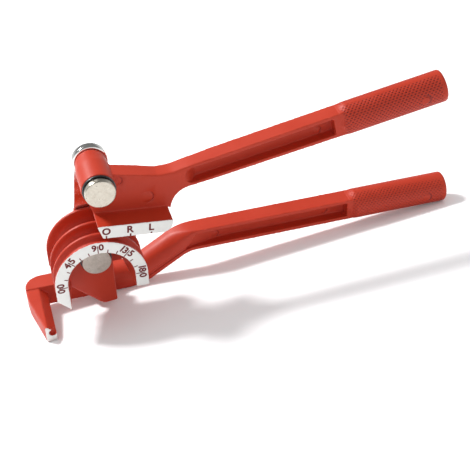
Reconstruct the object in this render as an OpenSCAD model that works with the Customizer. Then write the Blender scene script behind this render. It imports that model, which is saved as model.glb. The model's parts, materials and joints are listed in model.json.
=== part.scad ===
// Lever tube bender for three tube sizes, at rest on its hook, its neck and the end of its lower grip.
// Inside the modules X runs along the lower handle, Y runs rearwards along the pins from the
// front face of the die, and Z is up, with the die's pivot axis at X = 0, Z = 0.

/* [Tubes and die] */
// Tube diameter of the front groove
tube_small = 6.35; // [5:0.05:7]
// Tube diameter of the middle groove
tube_mid = 9.53; // [8:0.05:10]
// Tube diameter of the rear groove
tube_large = 12.7; // [11:0.05:13]
// Flat rim in front of, between and behind the grooves
rim_w = 2; // [1.6:0.1:2.6]
// Radius of the rims, which is also the bend radius of the small tube's centre line
rim_r = 26.6; // [25.5:0.1:28]
// Inner radius of the die ring at its front face
ring_in_r = 19.3; // [18.6:0.1:19.8]
// Inner radius of the die ring at its back web
ring_back_r = 15.9; // [15.4:0.1:16.2]
// Drop of the die's straight legs below the pivot
leg_drop = 9.5; // [8:0.5:11]
// Extra drop of the left leg at its inner edge
leg_slant = 7.2; // [5:0.2:8]
// Thickness of the web that closes the back of the die ring
web_t = 7.5; // [5:0.5:9]
// Thickness of the white scale coats
coat_t = 0.25; // [0.2:0.05:0.4]

/* [Hub and seat] */
// Depth of the hub's front face behind the front of the die
hub_depth = 22; // [20:0.5:24]
// Reach of the hub to the right of the pivot
lug_right = 9.6; // [9:0.1:10.5]
// Depth of the lug's lower edge below the pivot
lug_drop = 35.4; // [34:0.2:36]
// Drop of the lug's slanting edge below the pivot where it leaves the left leg
lug_slant_drop = 17.3; // [16:0.1:19]
// Rounding of the lug's lower edge
lug_round = 6.5; // [5:0.5:8]
// Thickness of the lug's front plate
lug_t = 9; // [8:0.5:10]
// Spacing of the two screws that hold the die to the lever
screw_pitch = 8.4; // [8:0.1:8.6]
// Thread diameter of the die screws
screw_d = 4; // [3:0.5:4]
// Thread length of the die screws inside the foot of the die
screw_grip = 7; // [5:0.5:7.5]

/* [Lower handle] */
// Thickness of the lever from front to back
lever_t = 12; // [11:0.5:13]
// Half height of the lever
lever_half = 7.2; // [6.5:0.1:7.4]
// Height of the neck's centre line below the pivot
neck_drop = 37.4; // [36:0.1:38]
// Height of the beam's centre line below the pivot
beam_drop = 18.5; // [18:0.1:20]
// Place along the lever where the bend starts
bend_start = 19.5; // [17:0.5:22]
// Centre line radius of the two bends
bend_r = 24; // [20:1:27]
// Slope of the lever between the two bends
bend_angle = 31; // [28:1:34]
// Place along the lever where the grip starts
low_grip_start = 163; // [155:1:170]
// Place along the lever where the grip ends
low_grip_end = 230; // [215:1:240]
// Depth of the channel in the front of each handle
channel_depth = 6.5; // [4:0.5:7.5]
// Wall left round the channel
channel_wall = 2.3; // [2:0.1:3]

/* [Hook] */
// Width of the hook where it leaves the neck
hook_root_w = 12.6; // [11.5:0.1:14]
// Width of the hook's end face
hook_tip_w = 6.2; // [5.6:0.1:7]
// Width of the slanting inner side of the hook
hook_slant_w = 4.8; // [4:0.1:5.4]
// Play between the tubes and the hook
hook_play = 0.4; // [0.2:0.1:0.8]
// Height of the hook's upper edge below the pivot at its tip
hook_top_drop = 26.4; // [26:0.1:28]
// Height of the hook's end face
hook_h = 10.3; // [9.5:0.1:11]
// Slope of the hook along its length
hook_slope = 6; // [4:0.5:7]
// Rounding of the outer corner where the hook leaves the neck
hook_corner_r = 10.4; // [8:0.2:11.6]
// Radius of the round recess in the hook's end face
hook_recess_r = 2.2; // [1.8:0.1:2.4]

/* [Grips] */
// Diameter of the round grips
grip_d = 18.9; // [17:0.1:20]
// Length over which a handle swells into its grip
grip_swell = 7; // [5:0.5:9]
// Rounding at the free end of a grip
grip_nose = 1.6; // [1:0.2:2.4]

/* [Link and pins] */
// Distance between the two pins
link_l = 55.9; // [55.5:0.1:57]
// Half width of the link bar
link_half = 10.4; // [9:0.1:10.6]
// Thickness of the link bar
link_t = 5; // [4:0.5:5.5]
// Shank diameter of the two pins
pin_d = 9; // [8:0.5:9.5]
// Diameter of the riveted ends of the pins
tail_d = 7; // [6:0.5:7.5]
// Diameter of the pin heads
head_d = 17.2; // [16:0.2:18]
// Thickness of the die pin's head
die_head_t = 2.6; // [2:0.2:3.4]
// Thickness of the handle pin's head
handle_head_t = 3.4; // [2.6:0.2:4]
// Thickness of the flat washers under the heads
washer_t = 1; // [0.8:0.1:1.2]
// Thickness of the spring washers under the heads
spring_t = 0.9; // [0.7:0.1:1.2]
// Thickness of the thrust washers in front of the link
thrust_t = 0.45; // [0.4:0.05:0.6]
// Outer diameter of the bushes
bush_d = 12; // [11:0.5:13]

/* [Forming handle] */
// Outer radius of the pivot barrel at its front face
barrel_r = 9.8; // [9.4:0.1:10.4]
// Outer radius of the pivot barrel at its rear face
barrel_rear_r = 8.9; // [8:0.1:9.2]
// Front face of the barrel behind the front of the die
barrel_front = 9.3; // [8:0.1:11]
// Front face of the handle behind the front of the die
handle_front = 14; // [13:0.5:16]
// Thickness of the handle from front to back
handle_t = 11; // [10:0.5:12]
// Gap between the rims of the die and the face of the closed shoe
shoe_gap = 2.5; // [2.1:0.1:2.9]
// Play between a tube and the grooves of the shoe
tube_play = 0.15; // [0.05:0.05:0.3]
// Left end of the shoe's face, to the right of the barrel's axis
shoe_start = 0.7; // [0.2:0.1:1.2]
// Right end of the shoe, to the right of the barrel's axis
shoe_right = 40; // [38.5:0.1:41]
// Height of the shoe
shoe_h = 8; // [7.4:0.1:8.6]
// Rounding of the shoe's face at its right end
shoe_round = 6; // [5:0.2:7]
// Slope of the forming handle against the face of the shoe
handle_angle = 16.1; // [15:0.1:17]
// Half height of the handle where it leaves the web
handle_half_near = 7; // [6.6:0.1:7.4]
// Half height of the handle at its grip
handle_half_far = 7.6; // [7.3:0.1:7.6]
// Distance along the handle from its root to the start of the grip
up_grip_start = 89; // [86:1:96]
// Distance along the handle from its root to the end of the grip
up_grip_end = 154.5; // [146:0.5:162]

/* [Pose at rest] */
// Angle of the link on the scale
rest_bend = 96.2; // [92:0.1:100]
// Angle by which the forming handle stands open
rest_open = 0; // [0:0.5:12]

/* [Clearances] */
// Running clearance round a pin
run_gap = 0.05; // [0.02:0.01:0.09]
// End play between pieces that turn on each other
end_play = 0.05; // [0.03:0.01:0.1]
// Gap between the link and the lever behind it
link_gap = 0.3; // [0.2:0.05:0.5]
// Clearance of the screws and the riveted ends in their holes
fit_gap = 0.02; // [0.01:0.01:0.05]

/* [Hidden] */
$fn = 96;

red = [0.78, 0.16, 0.12];
white = [0.93, 0.93, 0.91];
steel = [0.72, 0.70, 0.66];
chrome = [0.82, 0.83, 0.84];
dark_steel = [0.25, 0.25, 0.26];
bronze = [0.72, 0.52, 0.28];
over = 1;
tubes = [tube_small, tube_mid, tube_large];
groove_y = [
    rim_w + tube_small / 2,
    2 * rim_w + tube_small + tube_mid / 2,
    3 * rim_w + tube_small + tube_mid + tube_large / 2];
die_t = 4 * rim_w + tube_small + tube_mid + tube_large;
web_y = die_t - web_t;
web_drop = leg_drop + 1.5;
ring_lap = 0.3;
tube_out_r = rim_r + tube_small / 2;
groove_r = [for (d = tubes) tube_out_r - d / 2];
thrust_y = die_t + end_play;
link_y = thrust_y + thrust_t;
lever_y = link_y + link_t + link_gap;
lever_back = lever_y + lever_t;
grip_r = grip_d / 2;
grip_sink = 0.4;

// Lower edges of the two straight stretches of the lever
neck_z = -neck_drop;
beam_z = -beam_drop;
bend_rise = 2 * bend_r * (1 - cos(bend_angle));
bend_run = (beam_z - neck_z - bend_rise) / tan(bend_angle);
bend_end = bend_start + 2 * bend_r * sin(bend_angle) + bend_run;
lever_mid_y = lever_y + lever_t / 2;
channel_y = lever_y + channel_depth;
pocket_turn = 112;
rim_groove_turn = 20;
rim_groove_w = 2.6;
rim_groove_t = 3;

// Hook
hook_in = tube_out_r + hook_play;
hook_out = hook_in + hook_root_w;
hook_tip_out = hook_in + hook_tip_w;
hook_ridge = hook_in + hook_slant_w;
hook_lead = 9;
hook_taper_y = 30.4;
hook_taper_step = 0.6;
hook_end_drop = hook_top_drop + hook_h;
recess_t = 3;

// Screws that hold the die
screw_x = 1.6;
screw_z = neck_z + 1.2;
screw_sink = 0.3;
screw_head_d = 1.75 * screw_d;
screw_head_t = screw_d;
screw_tip_y = lever_y - screw_grip;
screw_well = 0.5;
socket_d = 0.8 * screw_d;
socket_t = 0.5 * screw_d;

// Forming handle, measured from the axis of the barrel
shoe_drop = link_l - rim_r - shoe_gap;
groove_drop = [for (r = groove_r) link_l - r - tube_play];
root_x = 52.26;
root_z = -0.6;
dip = [[41.5, 3.1], [33.5, 2.2]];
shoulder_x = 7.5;
cove_r = 13.5;
cove_x = shoe_right + 1.9 + cove_r;
cove_z = root_z + (cove_x - root_x) * tan(handle_angle) - handle_half_near / cos(handle_angle) - cove_r;
handle_back = handle_front + handle_t;
handle_mid_y = handle_front + handle_t / 2;

// Stack of pieces on the two pins, from the heads rearwards
die_washer_y = hub_depth - end_play - washer_t;
die_spring_y = die_washer_y - spring_t;
die_head_y = die_spring_y - die_head_t;
handle_washer_y = barrel_front - end_play - washer_t;
handle_spring_y = handle_washer_y - spring_t;
handle_head_y = handle_spring_y - handle_head_t;
tail_len = link_t;
rivet_t = 1.2;
head_edge = 0.6;
rivet_d = tail_d + 2.4;
washer_d = head_d + 1.6;
spring_d = head_d - 1.4;
thrust_d = 2 * barrel_rear_r - 1.2;
bush_len = 8;
bush_sink = 0.2;

// Resting pose: the tool leans on the floor with its hook's tip, its neck and the end of its lower grip
low_z = neck_z - lever_half;
arc_steps = 16;
bend_touch = 3 * bend_angle / arc_steps;
grip_touch_x = low_grip_end - grip_nose;
function grip_touch(n) = [grip_touch_x, lever_mid_y, beam_z] - grip_r * unit([0, n[1], n[2]]);
function unit(v) = v / norm(v);
function floor_normal(grip_point) = unit(cross(grip_point - neck_point, hook_point - neck_point)) * -1;
hook_point = [-hook_in, coat_t, -hook_end_drop / cos(hook_slope) - coat_t * tan(hook_slope)];
neck_point = [bend_start + (bend_r + lever_half) * sin(bend_touch), lever_y,
    neck_z + bend_r - (bend_r + lever_half) * cos(bend_touch)];
first_normal = floor_normal(grip_touch([0, 0, 1]));
up = floor_normal(grip_touch(first_normal));
tilt = atan2(-up[0], up[2]);
lean = atan2(up[1], norm([up[0], up[2]]));
floor_z = up * hook_point;
right_x = low_grip_end * cos(tilt) + (beam_z + grip_r - grip_nose) * sin(tilt);
left_x = -hook_out * cos(tilt) + low_z * sin(tilt);
mid_x = (right_x + left_x) / 2;
barrel_up = link_l * (cos(rest_bend - 90) * cos(tilt) - sin(rest_bend - 90) * sin(tilt));
front_y = handle_head_y * cos(lean) - (barrel_up + head_d / 2 - head_edge) * sin(lean);
back_y = lever_mid_y * cos(lean) - (beam_z * cos(tilt) - grip_touch_x * sin(tilt)) * sin(lean) + grip_r;
mid_y = (front_y + back_y) / 2;

function arc(cx, cz, r, from, to, n = arc_steps) =
    [for (i = [0 : n]) [cx + r * cos(from + (to - from) * i / n), cz + r * sin(from + (to - from) * i / n)]];
function back(points) = [for (i = [len(points) - 1 : -1 : 0]) points[i]];

// Points along the lever at a height above its centre line, through both bends
function lever_line(off, from, to) = concat(
    [[from, neck_z + off]],
    arc(bend_start, neck_z + bend_r, bend_r - off, -90, -90 + bend_angle),
    arc(bend_end, beam_z - bend_r, bend_r + off, 90 + bend_angle, 90),
    [[to, beam_z + off]]);

// Stand a drawing in the XZ plane up between two depths
module slab(y0, y1) {
    translate([0, y1, 0]) rotate([90, 0, 0]) linear_extrude(y1 - y0) children();
}

// Turn a profile, drawn as radius and depth, round a pin axis
module turned(points) {
    rotate([-90, 0, 0]) rotate_extrude() polygon([for (p = points) [p[0], p[1]]]);
}

module pin_bore(d, y0, y1) {
    translate([0, y0, 0]) rotate([-90, 0, 0]) cylinder(d = d, h = y1 - y0);
}

// Put a piece that was drawn round the barrel's axis at the far end of the link
module at_barrel() {
    rotate([0, rest_bend - 90, 0]) translate([0, 0, link_l]) children();
}

// The forming handle turns back from the link by the opening angle
module at_handle() {
    at_barrel() rotate([0, -rest_open, 0]) children();
}

module at_rest() {
    translate([-mid_x, -mid_y, -floor_z]) rotate([lean, 0, 0]) rotate([0, tilt, 0]) children();
}

// Front view of the die ring with its two straight legs
module ring_outline() {
    difference() {
        union() {
            intersection() {
                circle(r = rim_r);
                translate([-rim_r, 0]) square([2 * rim_r, rim_r]);
            }
            translate([ring_in_r, -leg_drop]) square([rim_r - ring_in_r, leg_drop]);
            polygon([[-rim_r, 0], [-rim_r, -leg_drop], [-ring_in_r, -leg_drop - leg_slant], [-ring_in_r, 0]]);
        }
        circle(r = ring_in_r);
    }
}

// A tube's seat in section: half round at the bottom, open to the rim
module groove_section(i) {
    translate([groove_r[i], groove_y[i]]) {
        circle(d = tubes[i]);
        translate([0, -tubes[i] / 2]) square([tubes[i], tubes[i]]);
    }
}

// Section through the die ring: radius and depth, with the three grooves
module ring_section() {
    difference() {
        polygon([[ring_in_r, coat_t], [rim_r, coat_t], [rim_r, die_t], [ring_back_r, die_t], [ring_back_r, web_y]]);
        for (i = [0 : len(tubes) - 1])
            groove_section(i);
    }
}

// Section through the hub inside the ring
hub_out_r = ring_in_r + (ring_back_r - ring_in_r) * (hub_depth - coat_t) / (web_y - coat_t) + ring_lap;
module hub_section() {
    polygon([[0, hub_depth], [hub_out_r, hub_depth], [ring_back_r + ring_lap, web_y], [ring_back_r + ring_lap, die_t],
        [0, die_t]]);
}

// Half a turn over the top of the pivot
module half_turned() {
    rotate([-90, 0, 0]) rotate([0, 0, 180]) rotate_extrude(angle = 180) children();
}

// Straight run downwards from the pivot's height
module run_down(drop) {
    translate([0, 0, -drop]) linear_extrude(drop) children();
}

module die_ring() {
    half_turned() ring_section();
    run_down(leg_drop) ring_section();
    difference() {
        run_down(leg_drop + 2 * leg_slant) mirror([1, 0]) ring_section();
        slab(-over, die_t + over) polygon([[-2 * rim_r, -leg_drop + rim_r * leg_slant / (rim_r - ring_in_r)],
            [-2 * rim_r, -3 * rim_r], [0, -3 * rim_r], [0, -leg_drop - rim_r * leg_slant / (rim_r - ring_in_r)]]);
    }
}

// Front view of the lug that carries the die down to the neck
module lug_outline() {
    centre_x = 3.6;
    centre_z = -lug_drop + lug_round;
    polygon(concat([[lug_right, 0], [-hub_out_r, 0], [-hub_out_r, -lug_slant_drop]],
        arc(centre_x, centre_z, lug_round, 225, 270), [[lug_right, -lug_drop + 0.9]]));
}

// Foot behind the lug: its side view and its plan meet the front face of the neck
module lug_foot() {
    foot_y = hub_depth + lug_t - 0.5;
    foot_left = 4.6;
    seat_left = 6.5;
    seat_z = low_z + 0.7;
    seat_top = neck_z + lever_half + 8;
    intersection() {
        translate([-rim_r, 0, 0]) rotate([90, 0, 90]) linear_extrude(2 * rim_r) polygon([[foot_y, seat_top],
            [foot_y, -lug_drop - 0.8], [lever_y, seat_z], [lever_y, seat_top]]);
        translate([0, 0, -2 * rim_r]) linear_extrude(2 * rim_r) polygon([[-foot_left, foot_y],
            [lug_right - 0.4, foot_y], [lug_right - 0.4, lever_y], [-seat_left, lever_y]]);
    }
}

// Space in front of the web, to the right of the hub
module hub_relief() {
    slab(hub_depth - over, web_y) polygon(concat([[lug_right, -rim_r], [lug_right, 0]],
        arc(0, 0, lug_right + 2, 0, 55), [[ring_in_r, ring_in_r], [ring_in_r, -rim_r]]));
}

module hub() {
    difference() {
        half_turned() hub_section();
        hub_relief();
    }
    slab(web_y, die_t) translate([-ring_back_r - ring_lap, -web_drop])
        square([2 * (ring_back_r + ring_lap), web_drop]);
    slab(hub_depth, hub_depth + lug_t) lug_outline();
    lug_foot();
}

module bending_die() {
    color(red) difference() {
        union() {
            die_ring();
            difference() {
                hub();
                half_turned() groove_section(2);
                slab(hub_depth - over, web_y) translate([-rim_r, -leg_drop - leg_slant])
                    square([rim_r - groove_r[2] + tube_large / 2 - over, leg_drop + leg_slant]);
            }
        }
        pin_bore(bush_d, hub_depth - over, die_t + over);
        for (side = [-1, 1])
            translate([screw_x + side * screw_pitch / 2, 0, screw_z])
                pin_bore(screw_d + 2 * fit_gap, screw_tip_y - screw_well, lever_y + over);
    }
}

module degree_scale() {
    color(white) slab(0, coat_t) ring_outline();
}

module screw() {
    difference() {
        union() {
            pin_bore(screw_d, screw_tip_y, lever_back - screw_head_t - screw_sink);
            pin_bore(screw_head_d, lever_back - screw_head_t - screw_sink, lever_back - screw_sink);
        }
        translate([0, lever_back - socket_t - screw_sink, 0]) rotate([-90, 0, 0])
            cylinder(d = socket_d, h = socket_t + over, $fn = 6);
    }
}

module die_screws() {
    color(dark_steel)
        for (side = [-1, 1])
            translate([screw_x + side * screw_pitch / 2, 0, screw_z]) screw();
}

module hub_bush() {
    color(bronze) difference() {
        pin_bore(bush_d, hub_depth + bush_sink, die_t - bush_sink);
        pin_bore(pin_d + 2 * run_gap, hub_depth - over, die_t + over);
    }
}

// Round grip along X, swelling out of a handle at its start
module grip(from, to, root_r) {
    translate([from, 0, 0]) rotate([0, 90, 0]) rotate_extrude() polygon([[0, 0], [root_r, 0], [grip_r, grip_swell],
        [grip_r, to - from - grip_nose], [grip_r - grip_nose, to - from], [0, to - from]]);
}

// Pocket in the front of the beam, and a shallow groove that runs from it round the bend above the lower rim
module lever_channel() {
    inset = lever_half - channel_wall;
    groove_top = inset - rim_groove_w;
    slab(lever_y - over, channel_y) polygon(concat(
        [[low_grip_start, beam_z + inset], [bend_end, beam_z + inset]],
        arc(bend_end, beam_z - bend_r, bend_r - inset, pocket_turn, 90),
        [[low_grip_start, beam_z - inset]]));
    slab(lever_y - over, lever_y + rim_groove_t) polygon(concat(
        arc(bend_start, neck_z + bend_r, bend_r + inset, -90 + rim_groove_turn, -90 + bend_angle),
        arc(bend_end, beam_z - bend_r, bend_r - inset, 90 + bend_angle, pocket_turn),
        [[bend_end - 1, beam_z - 2]],
        arc(bend_end, beam_z - bend_r, bend_r - groove_top, pocket_turn, 90 + bend_angle),
        arc(bend_start, neck_z + bend_r, bend_r + groove_top, -90 + bend_angle, -90 + rim_groove_turn)));
}

// Hook arm: a sloping bar with a slanting inner side, cut to its outline seen from above
module hook_bar() {
    rotate([-hook_slope, 0, 0]) slab(-hook_lead, lever_back + over) polygon([
        [-hook_out, -hook_end_drop], [-hook_out, -hook_top_drop], [-hook_ridge, -hook_top_drop],
        [-hook_in, -hook_top_drop - hook_ridge + hook_in], [-hook_in, -hook_end_drop]]);
}

module hook_plan() {
    translate([0, 0, -2 * hook_out]) linear_extrude(2 * hook_out) polygon(concat(
        [[-hook_in, coat_t], [-hook_tip_out, coat_t], [-hook_out + hook_taper_step, hook_taper_y],
            [-hook_out, hook_taper_y + hook_lead]],
        arc(-hook_out + hook_corner_r, lever_back - hook_corner_r, hook_corner_r, 180, 90),
        [[-hook_in, lever_back]]));
}

module hook_recess(y0, y1) {
    translate([-hook_in - hook_recess_r, 0, -hook_top_drop - hook_ridge + hook_in + 0.3])
        pin_bore(2 * hook_recess_r, y0, y1);
}

module fixed_handle() {
    color(red) difference() {
        union() {
            slab(lever_y, lever_back) polygon(concat(
                lever_line(lever_half, -hook_in, low_grip_start + grip_swell),
                back(lever_line(-lever_half, -hook_in, low_grip_start + grip_swell))));
            translate([0, lever_mid_y, beam_z]) grip(low_grip_start, low_grip_end, lever_t / 2 - grip_sink);
            intersection() {
                union() {
                    hook_bar();
                    slab(lever_y, lever_back) translate([-hook_out, low_z])
                        square([hook_out - hook_in, 2 * lever_half]);
                }
                hook_plan();
            }
        }
        lever_channel();
        hook_recess(-over, recess_t);
        for (side = [-1, 1])
            translate([screw_x + side * screw_pitch / 2, 0, screw_z]) {
                pin_bore(screw_d + 2 * fit_gap, lever_y - over, lever_back);
                pin_bore(screw_head_d + 2 * fit_gap, lever_back - screw_head_t - screw_sink, lever_back + over);
            }
    }
}

module hook_end_coat() {
    color(white) difference() {
        slab(0, coat_t) polygon([
            [-hook_in - 0.1, -hook_end_drop], [-hook_tip_out, -hook_end_drop], [-hook_tip_out, -hook_top_drop - 0.2],
            [-hook_ridge, -hook_top_drop - 0.2], [-hook_in - 0.1, -hook_top_drop - hook_ridge + hook_in - 0.2]]);
        hook_recess(-over, over);
    }
}

module link_bar() {
    color(chrome) rotate([0, rest_bend - 90, 0]) slab(link_y, link_y + link_t) difference() {
        union() {
            circle(r = link_half);
            translate([0, link_l]) circle(r = link_half);
            translate([-link_half, 0]) square([2 * link_half, link_l]);
        }
        circle(d = tail_d + 2 * fit_gap);
        translate([0, link_l]) circle(d = tail_d + 2 * fit_gap);
    }
}

// Headed pin, riveted over behind the link
module headed_pin(head_y, head_t) {
    turned([[0, head_y], [head_d / 2 - head_edge, head_y], [head_d / 2, head_y + head_edge],
        [head_d / 2, head_y + head_t], [pin_d / 2, head_y + head_t], [pin_d / 2, link_y], [tail_d / 2, link_y],
        [tail_d / 2, link_y + tail_len], [rivet_d / 2, link_y + tail_len],
        [rivet_d / 2 - 0.4, link_y + tail_len + rivet_t], [0, link_y + tail_len + rivet_t]]);
}

module flat_washer(d, y, t) {
    difference() {
        pin_bore(d, y, y + t);
        pin_bore(pin_d + 2 * run_gap, y - over, y + t + over);
    }
}

// Spring washer: a shallow cone that fills the space under a head
module spring_washer(y) {
    rise = spring_t / 2;
    turned([[pin_d / 2 + run_gap, y], [spring_d / 2, y + rise], [spring_d / 2, y + spring_t],
        [pin_d / 2 + run_gap, y + rise]]);
}

module die_pin() { color(steel) headed_pin(die_head_y, die_head_t); }
module die_pin_washer() { color(dark_steel) flat_washer(washer_d, die_washer_y, washer_t); }
module die_pin_spring() { color(dark_steel) spring_washer(die_spring_y); }
module die_thrust_washer() { color(steel) flat_washer(thrust_d, thrust_y, thrust_t); }
module handle_pin() { color(chrome) at_barrel() headed_pin(handle_head_y, handle_head_t); }
module handle_pin_washer() { color(dark_steel) at_barrel() flat_washer(washer_d, handle_washer_y, washer_t); }
module handle_pin_spring() { color(dark_steel) at_barrel() spring_washer(handle_spring_y); }
module handle_thrust_washer() { color(steel) at_barrel() flat_washer(thrust_d, thrust_y, thrust_t); }

// Where a straight line from the shoe's lower left corner runs into the barrel
corner_r = norm([shoe_start, shoe_drop]);
touch_r = barrel_r - 0.4;
touch = atan2(-shoe_drop, shoe_start) - acos(touch_r / corner_r);
touch_point = [touch_r * cos(touch), touch_r * sin(touch)];
function left_edge(height) = [touch_point[0] + (shoe_start - touch_point[0]) * (touch_point[1] + shoe_drop - height)
    / (touch_point[1] + shoe_drop), -shoe_drop + height];

module shoe_outline() {
    polygon(concat([[shoe_start, -shoe_drop]],
        arc(shoe_right - shoe_round, -shoe_drop + shoe_round, shoe_round, -90, 0),
        [[shoe_right, -shoe_drop + shoe_h], left_edge(shoe_h)]));
}

module web_outline() {
    far = up_grip_start + grip_swell;
    along = [cos(handle_angle), sin(handle_angle)];
    up = [-sin(handle_angle), cos(handle_angle)];
    root = [root_x, root_z];
    polygon(concat(
        [touch_point, left_edge(shoe_h / 2) + [0.3, 0], [shoe_right - 1, -shoe_drop + shoe_h / 2],
            [shoe_right - 0.4, -shoe_drop + shoe_h - 0.4]],
        arc(cove_x, cove_z, cove_r, 180, 90 + handle_angle),
        [root + far * along - handle_half_far * up, root + far * along + handle_half_far * up,
            root + handle_half_near * up],
        dip,
        [[shoulder_x, sqrt(touch_r * touch_r - shoulder_x * shoulder_x)]]));
}

module handle_channel() {
    inset = handle_half_near - channel_wall;
    flare = handle_half_far - handle_half_near;
    first = 1.5;
    last = up_grip_start - 2.5;
    floor_y = handle_front + channel_depth;
    translate([root_x, 0, root_z]) rotate([0, -handle_angle, 0]) slab(handle_front - over, floor_y) {
        polygon([[first, -inset], [last, -inset - flare], [last, inset + flare], [first, inset]]);
        translate([first, 0]) circle(r = inset);
    }
}

module shoe_groove(i) {
    translate([-barrel_r - over, groove_y[i], -groove_drop[i]]) rotate([0, 90, 0])
        cylinder(d = tubes[i], h = shoe_right + 4 * barrel_r);
}

module forming_handle() {
    color(red) at_handle() difference() {
        union() {
            turned([[0, barrel_front], [barrel_r, barrel_front], [barrel_r, handle_back + over],
                [barrel_rear_r, die_t], [0, die_t]]);
            slab(handle_front, handle_back) web_outline();
            slab(coat_t, die_t) shoe_outline();
            translate([root_x, handle_mid_y, root_z]) rotate([0, -handle_angle, 0])
                grip(up_grip_start, up_grip_end, handle_t / 2 - grip_sink);
        }
        pin_bore(bush_d, barrel_front - over, barrel_front + bush_len + bush_sink);
        pin_bore(pin_d + 1, barrel_front - over, die_t + over);
        pin_bore(bush_d, die_t - bush_len - bush_sink, die_t + over);
        handle_channel();
        for (i = [0 : len(tubes) - 1])
            shoe_groove(i);
    }
}

module index_strip() {
    color(white) at_handle() slab(0, coat_t) shoe_outline();
}

module barrel_bush(y) {
    color(bronze) at_handle() difference() {
        pin_bore(bush_d, y, y + bush_len);
        pin_bore(pin_d + 2 * run_gap, y - over, y + bush_len + over);
    }
}

module barrel_bush_front() { barrel_bush(barrel_front + bush_sink); }
module barrel_bush_rear() { barrel_bush(die_t - bush_len - bush_sink); }

at_rest() fixed_handle();
at_rest() bending_die();
at_rest() die_screws();
at_rest() degree_scale();
at_rest() hook_end_coat();
at_rest() hub_bush();
at_rest() link_bar();
at_rest() die_pin();
at_rest() die_pin_washer();
at_rest() die_pin_spring();
at_rest() die_thrust_washer();
at_rest() handle_pin();
at_rest() handle_pin_washer();
at_rest() handle_pin_spring();
at_rest() handle_thrust_washer();
at_rest() forming_handle();
at_rest() index_strip();
at_rest() barrel_bush_front();
at_rest() barrel_bush_rear();
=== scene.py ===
# %% [markdown]
# # A hand tube bender in red enamel
#
# The tool is two painted die castings, joined by a plated link and two headed pins. One casting holds
# the tube on a grooved die and has the long lower grip. The other drags a shoe round the die and has
# the upper grip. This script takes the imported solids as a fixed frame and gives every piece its
# finished shape and surface.
#
# Reading the frame first, and nothing else, keeps every piece where the construction says it is.

import json
import math

import bmesh
import bpy
import numpy as np
from mathutils import Matrix, Vector


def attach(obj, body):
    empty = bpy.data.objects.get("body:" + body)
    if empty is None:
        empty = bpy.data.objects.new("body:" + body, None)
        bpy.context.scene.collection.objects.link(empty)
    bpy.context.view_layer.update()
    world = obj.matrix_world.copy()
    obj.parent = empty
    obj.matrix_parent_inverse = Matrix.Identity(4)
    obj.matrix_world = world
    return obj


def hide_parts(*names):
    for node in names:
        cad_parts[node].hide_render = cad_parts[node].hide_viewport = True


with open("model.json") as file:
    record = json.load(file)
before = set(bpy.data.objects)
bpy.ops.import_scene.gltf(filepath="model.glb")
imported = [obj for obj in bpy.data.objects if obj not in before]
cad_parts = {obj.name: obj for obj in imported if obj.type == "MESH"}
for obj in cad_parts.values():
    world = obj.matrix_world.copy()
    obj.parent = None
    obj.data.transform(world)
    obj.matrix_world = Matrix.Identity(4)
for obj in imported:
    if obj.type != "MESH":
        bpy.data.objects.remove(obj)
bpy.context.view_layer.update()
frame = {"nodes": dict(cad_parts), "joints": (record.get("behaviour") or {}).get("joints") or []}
joints = {joint["name"]: joint for joint in frame["joints"]}

# %% [markdown]
# ## The tool's own axes
#
# The tool leans on the floor on three points, so its own directions aren't those of the room. A maker
# measures along the tool: to the right along the lower handle, back along the pins, and up across the
# handles. The two hinges say where these axes are, so they are worked out here once, in millimetres.

# %% Tool axes
MM = 0.001
LINK_LEAN = math.radians(6.2)

pins_back = Vector(joints["bend_swing"]["axis"]).normalized()
die_centre = Vector(joints["bend_swing"]["pos_m"])
barrel_centre = Vector(joints["handle_lift"]["pos_m"])
link_way = barrel_centre - die_centre
link_way = (link_way - pins_back * link_way.dot(pins_back)).normalized()
link_side = pins_back.cross(link_way)
tool_right = link_way * math.sin(LINK_LEAN) + link_side * math.cos(LINK_LEAN)
tool_up = link_way * math.cos(LINK_LEAN) - link_side * math.sin(LINK_LEAN)
front_plane = min(v.co.dot(pins_back) for v in frame["nodes"]["degree_scale"].data.vertices)


def axes_at(centre, right, up):
    """Matrix from millimetres along the tool to metres in the room; depth starts at the front faces."""
    origin = centre + pins_back * (front_plane - centre.dot(pins_back))
    turn = Matrix((right, pins_back, up)).transposed().to_4x4()
    return Matrix.Translation(origin) @ turn @ Matrix.Scale(MM, 4)


die_axes = axes_at(die_centre, tool_right, tool_up)
barrel_axes = axes_at(barrel_centre, link_side, link_way)
print("die axis at", [round(c, 4) for c in die_axes.translation])
print("barrel axis at", [round(c, 4) for c in barrel_axes.translation])

# %% [markdown]
# ## The camera
#
# The photographer stood in front of the tool, a little to the left, and looked down on it with a short
# telephoto lens. The place and the three directions were fitted to points that can be recognised on the
# tool, such as the pin heads and the ends of the grips, and are given along the tool's axes.

# %% Camera
CAMERA_PLACE = Vector((-43.6, -489.0, 402.4))
CAMERA_RIGHT = Vector((0.9621, -0.2701, -0.0375))
CAMERA_UP = Vector((0.1938, 0.5806, 0.7908))
CAMERA_BACK = Vector((-0.1918, -0.7681, 0.6109))
IMAGE_SIDE = 470
FOCAL_PIXELS = 1113.5
SENSOR = 36.0


def add_object(name, data):
    """A new object in the scene, for a mesh, a camera, a lamp or a text."""
    made = bpy.data.objects.new(name, data)
    bpy.context.scene.collection.objects.link(made)
    return made


camera_data = bpy.data.cameras.new("photo_camera")
camera_data.sensor_width = SENSOR
camera_data.lens = SENSOR * FOCAL_PIXELS / IMAGE_SIDE
camera = add_object("photo_camera", camera_data)
axes_turn = die_axes.to_3x3() * (1.0 / MM)
camera_turn = axes_turn @ Matrix((CAMERA_RIGHT, CAMERA_UP, CAMERA_BACK)).transposed()
camera.matrix_world = Matrix.Translation(die_axes @ CAMERA_PLACE) @ camera_turn.to_4x4()
bpy.context.scene.camera = camera
print("lens", round(camera_data.lens, 2), "mm, camera at", [round(c, 3) for c in camera.location])

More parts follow.
